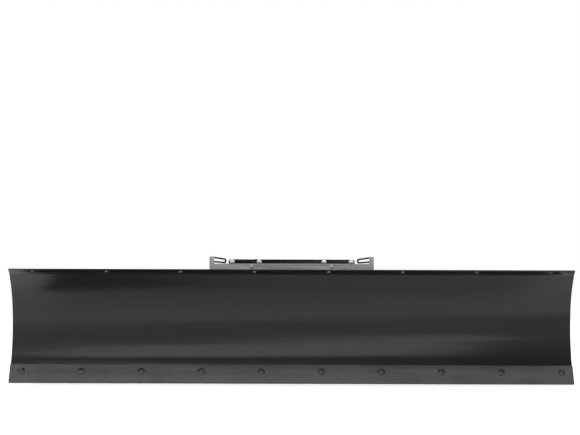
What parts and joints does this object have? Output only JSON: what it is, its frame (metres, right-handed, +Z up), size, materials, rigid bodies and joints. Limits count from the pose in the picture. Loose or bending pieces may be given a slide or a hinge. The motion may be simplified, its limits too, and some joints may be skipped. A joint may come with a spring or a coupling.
{
  "type": "plow blade",
  "caption": "Wide curved snow plow blade for an all-terrain vehicle, with bolted wear bar, punched top lip, spring trip, side-to-side swing frame and adjustable skid shoes.",
  "frame": {"origin": "middle of the footprint at ground level, under the centre of the overall box", "axes": "+X along the blade, +Y back towards the vehicle, +Z up; the moldboard's hollow faces -Y"},
  "size_m": [1.8288, 0.4994, 0.4091],
  "materials": {
    "black_powder_coat": "satin powder coat",
    "wear_bar_paint": "thin matte paint on hot-rolled bar",
    "black_fasteners": "black oxide",
    "gray_frame_paint": "satin gray powder coat",
    "zinc_hardware": "bright zinc plate",
    "spring_steel": "zinc-plated spring wire",
    "bronze": "plain bearing bronze",
    "bumper_rubber": "moulded",
    "cap_plastic": "moulded",
    "shoe_iron": "painted casting, worn bright underneath"
  },
  "bodies": {
    "push_head": {"upper_jaw": "black_powder_coat", "lower_jaw": "black_powder_coat", "head_webs": "black_powder_coat", "coupler_plate": "black_powder_coat", "coupler_gussets": "black_powder_coat", "kingpin": "zinc_hardware", "kingpin_nut": "zinc_hardware", "kingpin_washers": "zinc_hardware", "thrust_washers": "bronze", "lock_pin_bracket": "black_powder_coat", "lock_spring": "spring_steel"},
    "swing_frame": {"tower_plates": "gray_frame_paint", "hinge_bosses": "gray_frame_paint", "cross_plate": "gray_frame_paint", "spring_bar": "black_powder_coat", "spring_bar_screws": "gray_frame_paint", "spring_bar_nuts": "zinc_hardware", "shaft_brackets": "black_powder_coat", "bracket_bolts": "zinc_hardware", "bracket_nuts": "zinc_hardware", "spring_shaft": "black_powder_coat", "shaft_collars": "zinc_hardware", "centre_clip": "zinc_hardware", "side_loops": "black_powder_coat", "quadrant_plate": "gray_frame_paint", "kingpin_boss": "gray_frame_paint", "frame_gussets": "gray_frame_paint", "stop_bumpers": "bumper_rubber"},
    "blade": {"moldboard": "black_powder_coat", "wear_bar": "wear_bar_paint", "wear_bar_bolts": "black_fasteners", "wear_bar_washers": "black_fasteners", "wear_bar_nuts": "black_fasteners", "backing_bar": "black_powder_coat", "top_rail": "black_powder_coat", "rail_end_caps": "cap_plastic", "end_ribs": "black_powder_coat", "pivot_ribs": "black_powder_coat", "skid_ribs": "black_powder_coat", "spring_lugs": "black_powder_coat", "spring_lug_bolts": "zinc_hardware", "spring_lug_nuts": "zinc_hardware", "hinge_pins": "zinc_hardware", "hinge_pin_clips": "zinc_hardware", "stop_plates": "black_powder_coat", "skid_tubes": "black_powder_coat", "skid_nuts": "zinc_hardware"},
    "spring_guide": {"spring_top_hooks": "spring_steel", "trip_spring_coils": "spring_steel"},
    "spring_tip": {"spring_bottom_hooks": "spring_steel"},
    "lock_pin": {"lock_pin_shaft": "zinc_hardware", "lock_pin_collar": "zinc_hardware", "lock_pin_handle": "zinc_hardware"},
    "skid_left": {"skid_dish_left": "shoe_iron", "skid_stem_left": "zinc_hardware"},
    "skid_right": {"skid_dish_right": "shoe_iron", "skid_stem_right": "zinc_hardware"}
  },
  "joints": [
    {"name": "swing_angle", "type": "hinge", "parent": "push_head", "child": "swing_frame", "pos_m": [0, -0.02533, 0.104], "axis": [0, 0, 1], "range_deg": [-30, 30]},
    {"name": "blade_trip", "type": "hinge", "parent": "swing_frame", "child": "blade", "pos_m": [0, -0.09033, 0.095], "axis": [1, 0, 0], "range_deg": [0, 30], "stiffness_Nm_per_rad": 153.6, "springref_deg": -47.56},
    {"name": "spring_lean", "type": "hinge", "parent": "swing_frame", "child": "spring_guide", "pos_m": [0, -0.04533, 0.38507], "axis": [1, 0, 0], "range_deg": [-10.3, 0]},
    {"name": "spring_stretch", "type": "slide", "parent": "spring_guide", "child": "spring_tip", "axis": [0, -0.3314, -0.9435], "range_m": [0, 0.0444], "deforming": ["trip_spring_coils"]},
    {"name": "lock_pin_pull", "type": "slide", "parent": "push_head", "child": "lock_pin", "axis": [0, 0, 1], "range_m": [0, 0.029], "stiffness_N_per_m": 600, "springref_m": -0.03, "deforming": ["lock_spring"]},
    {"name": "skid_left_height", "type": "slide", "parent": "blade", "child": "skid_left", "axis": [0, 0, 1], "range_m": [-0.025, 0.04]},
    {"name": "skid_right_height", "type": "slide", "parent": "blade", "child": "skid_right", "axis": [0, 0, 1], "range_m": [-0.025, 0.04]}
  ],
  "couplings": [
    {"joint": "spring_lean", "follows": "blade_trip", "ratio": -0.336},
    {"joint": "spring_stretch", "follows": "blade_trip", "m_per_rad": 0.0834}
  ]
}
